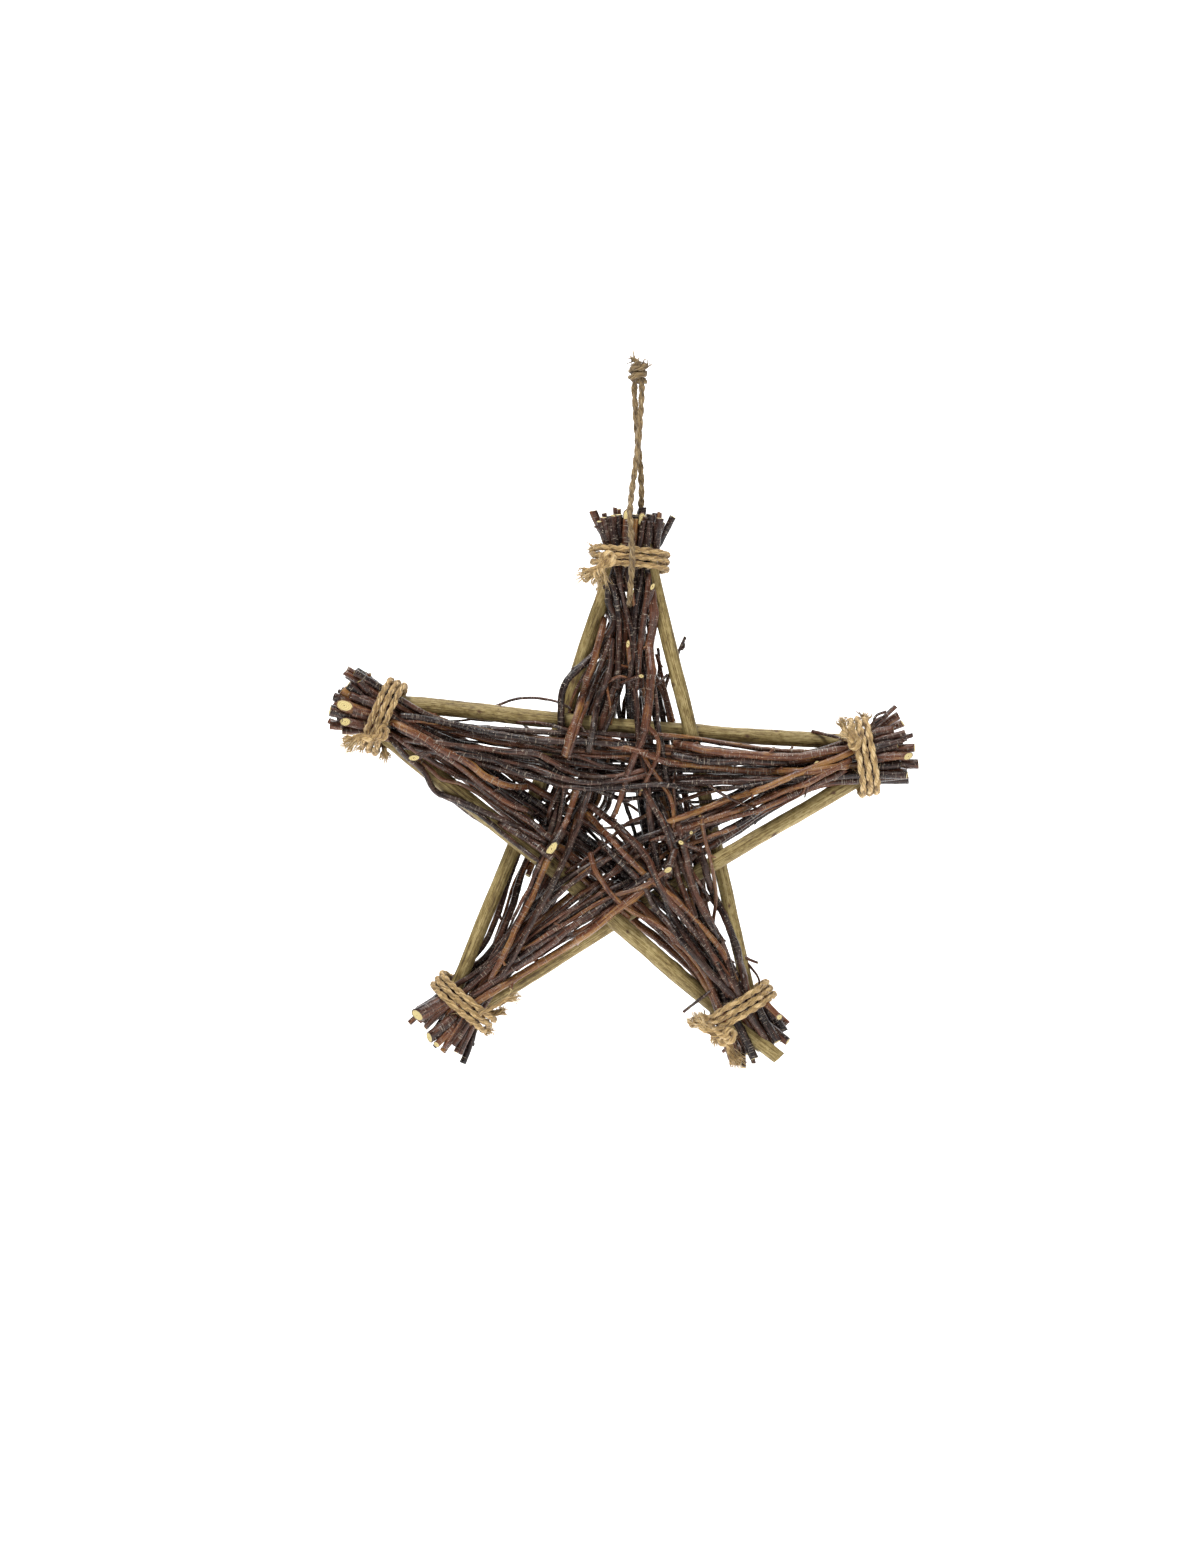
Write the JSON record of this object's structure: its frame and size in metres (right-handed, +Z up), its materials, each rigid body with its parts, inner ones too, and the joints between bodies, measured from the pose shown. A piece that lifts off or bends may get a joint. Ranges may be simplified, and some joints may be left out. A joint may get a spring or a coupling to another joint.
{
  "type": "twig star ornament",
  "caption": "Hanging five-pointed star of peeled poles and bundles of dark twigs, bound at its tips with twine.",
  "frame": {"origin": "where the hanging loop rests on a nail, just under its knot", "axes": "+Z up along the hanging loop, the star lies in the XZ plane and its front faces -Y"},
  "size_m": [0.2987, 0.0533, 0.3628],
  "materials": {
    "peeled_pole": "satin",
    "dark_twig": "satin",
    "jute_twine": "matte"
  },
  "bodies": {
    "root": {"binding_left": "jute_twine", "binding_lower_left": "jute_twine", "binding_lower_right": "jute_twine", "binding_right": "jute_twine", "binding_top": "jute_twine", "hanging_knot": "jute_twine", "hanging_twine": "jute_twine", "pole_left_lower_right": "peeled_pole", "pole_left_right": "peeled_pole", "pole_right_lower_left": "peeled_pole", "pole_top_lower_left": "peeled_pole", "pole_top_lower_right": "peeled_pole", "twig_left_lower_right_1": "dark_twig", "twig_left_lower_right_2": "dark_twig", "twig_left_lower_right_3": "dark_twig", "twig_left_lower_right_4": "dark_twig", "twig_left_lower_right_5": "dark_twig", "twig_left_lower_right_6": "dark_twig", "twig_left_lower_right_7": "dark_twig", "twig_left_lower_right_8": "dark_twig", "twig_left_lower_right_9": "dark_twig", "twig_left_right_1": "dark_twig", "twig_left_right_2": "dark_twig", "twig_left_right_3": "dark_twig", "twig_left_right_4": "dark_twig", "twig_left_right_5": "dark_twig", "twig_left_right_6": "dark_twig", "twig_left_right_7": "dark_twig", "twig_left_right_8": "dark_twig", "twig_left_right_9": "dark_twig", "twig_right_lower_left_1": "dark_twig", "twig_right_lower_left_2": "dark_twig", "twig_right_lower_left_3": "dark_twig", "twig_right_lower_left_4": "dark_twig", "twig_right_lower_left_5": "dark_twig", "twig_right_lower_left_6": "dark_twig", "twig_right_lower_left_7": "dark_twig", "twig_right_lower_left_8": "dark_twig", "twig_right_lower_left_9": "dark_twig", "twig_top_lower_left_1": "dark_twig", "twig_top_lower_left_2": "dark_twig", "twig_top_lower_left_3": "dark_twig", "twig_top_lower_left_4": "dark_twig", "twig_top_lower_left_5": "dark_twig", "twig_top_lower_left_6": "dark_twig", "twig_top_lower_left_7": "dark_twig", "twig_top_lower_left_8": "dark_twig", "twig_top_lower_left_9": "dark_twig", "twig_top_lower_right_1": "dark_twig", "twig_top_lower_right_2": "dark_twig", "twig_top_lower_right_3": "dark_twig", "twig_top_lower_right_4": "dark_twig", "twig_top_lower_right_5": "dark_twig", "twig_top_lower_right_6": "dark_twig", "twig_top_lower_right_7": "dark_twig", "twig_top_lower_right_8": "dark_twig", "twig_top_lower_right_9": "dark_twig"}
  },
  "joints": []
}
